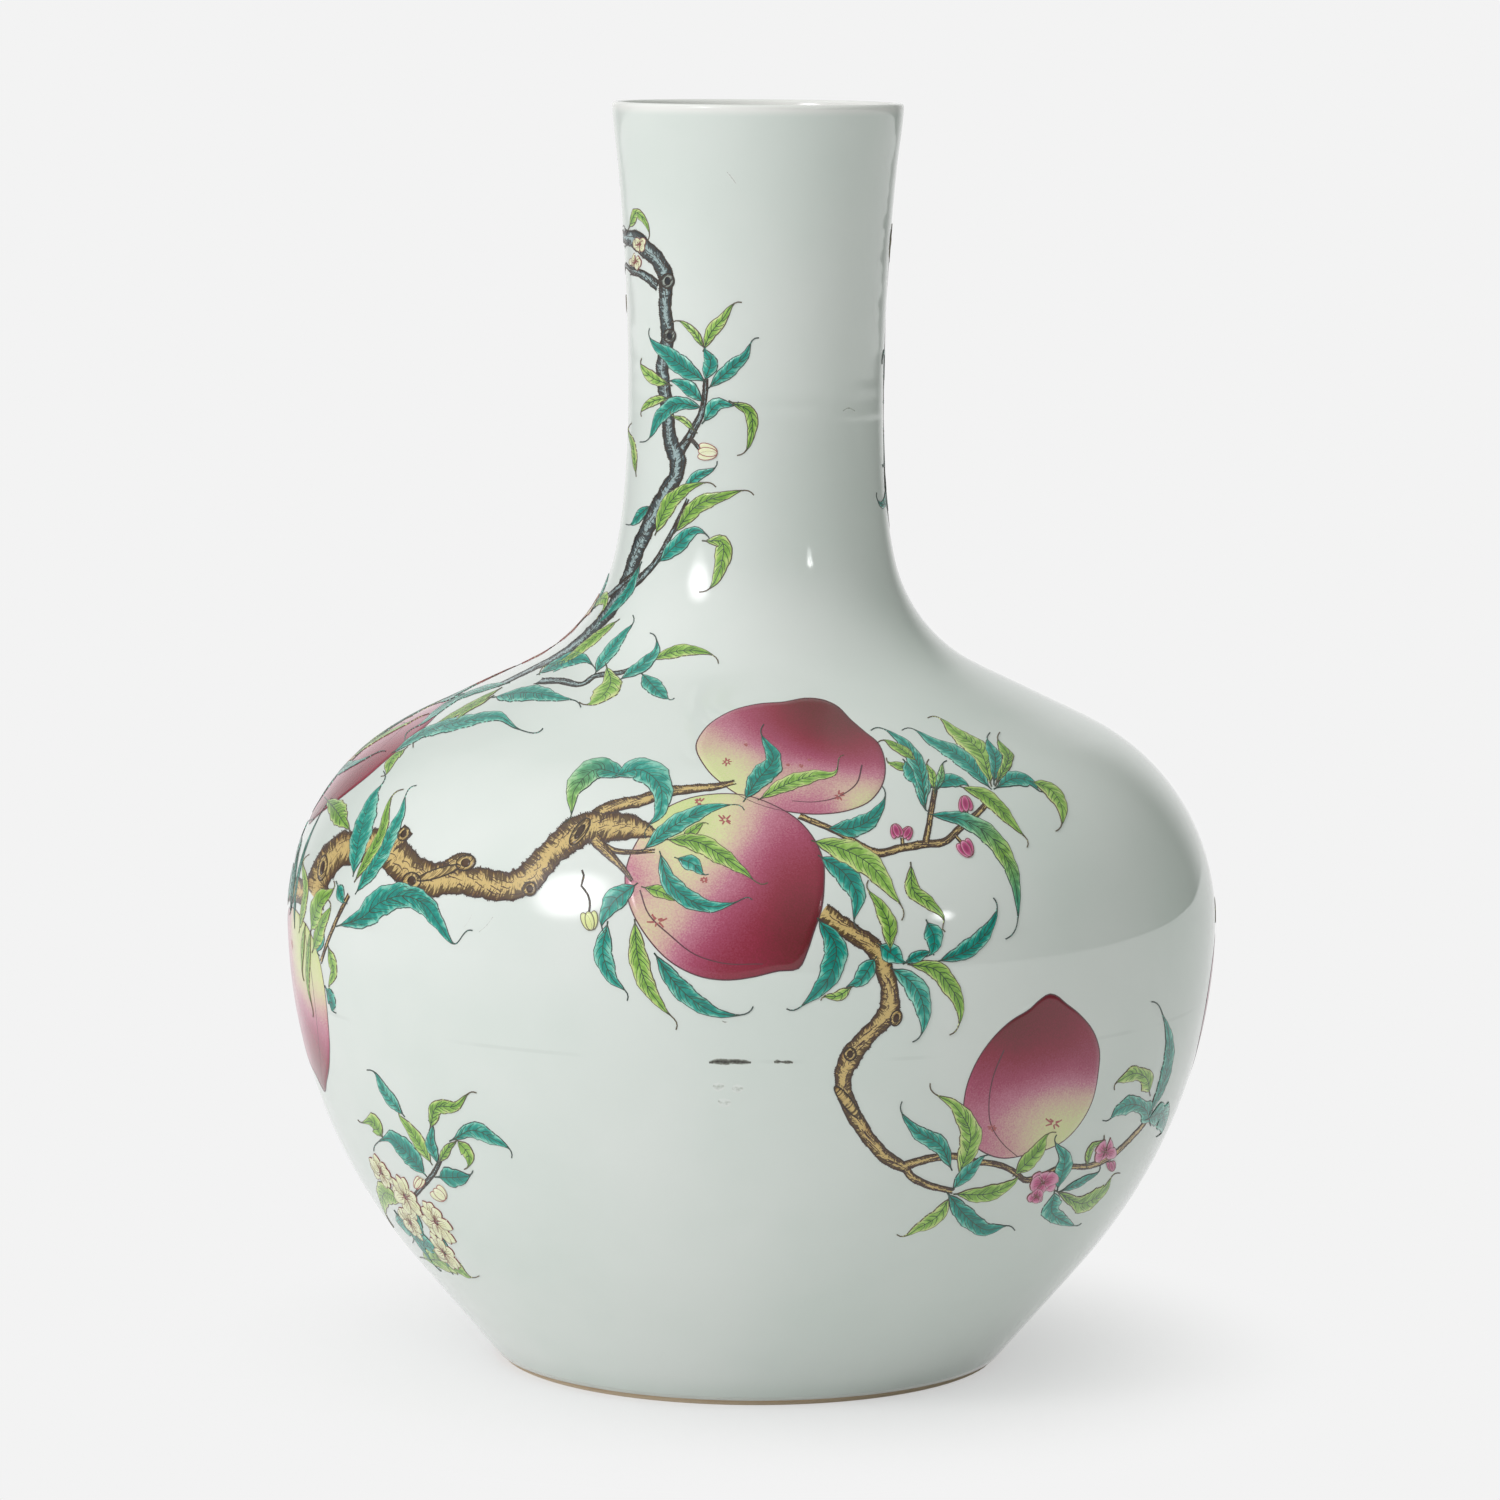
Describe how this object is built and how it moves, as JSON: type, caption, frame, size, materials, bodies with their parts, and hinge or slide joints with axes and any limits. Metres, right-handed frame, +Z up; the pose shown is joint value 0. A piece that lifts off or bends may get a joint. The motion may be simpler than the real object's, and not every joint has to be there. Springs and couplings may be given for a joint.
{
  "type": "tianqiuping vase",
  "caption": "Tall-necked porcelain bottle vase with a globe body, thrown in luted sections, glazed inside and out, on a turned bare foot ring.",
  "frame": {"origin": "centre of the foot rim's resting plane, on the axis of the wheel", "axes": "+Z up the axis of the wheel from the foot to the lip; +X and +Y are alike, because every piece is turned"},
  "size_m": [0.4139, 0.414, 0.56],
  "materials": {
    "bare_porcelain": "unglazed, smooth, warm buff",
    "fired_slip": "unglazed",
    "clear_glaze": "high gloss, pale blue-green white"
  },
  "bodies": {
    "root": {"lower_bowl": "bare_porcelain", "shoulder_section": "bare_porcelain", "neck_section": "bare_porcelain", "belly_slip_joint": "fired_slip", "neck_slip_joint": "fired_slip", "outer_glaze": "clear_glaze", "inner_glaze": "clear_glaze", "base_glaze": "clear_glaze"}
  },
  "joints": []
}
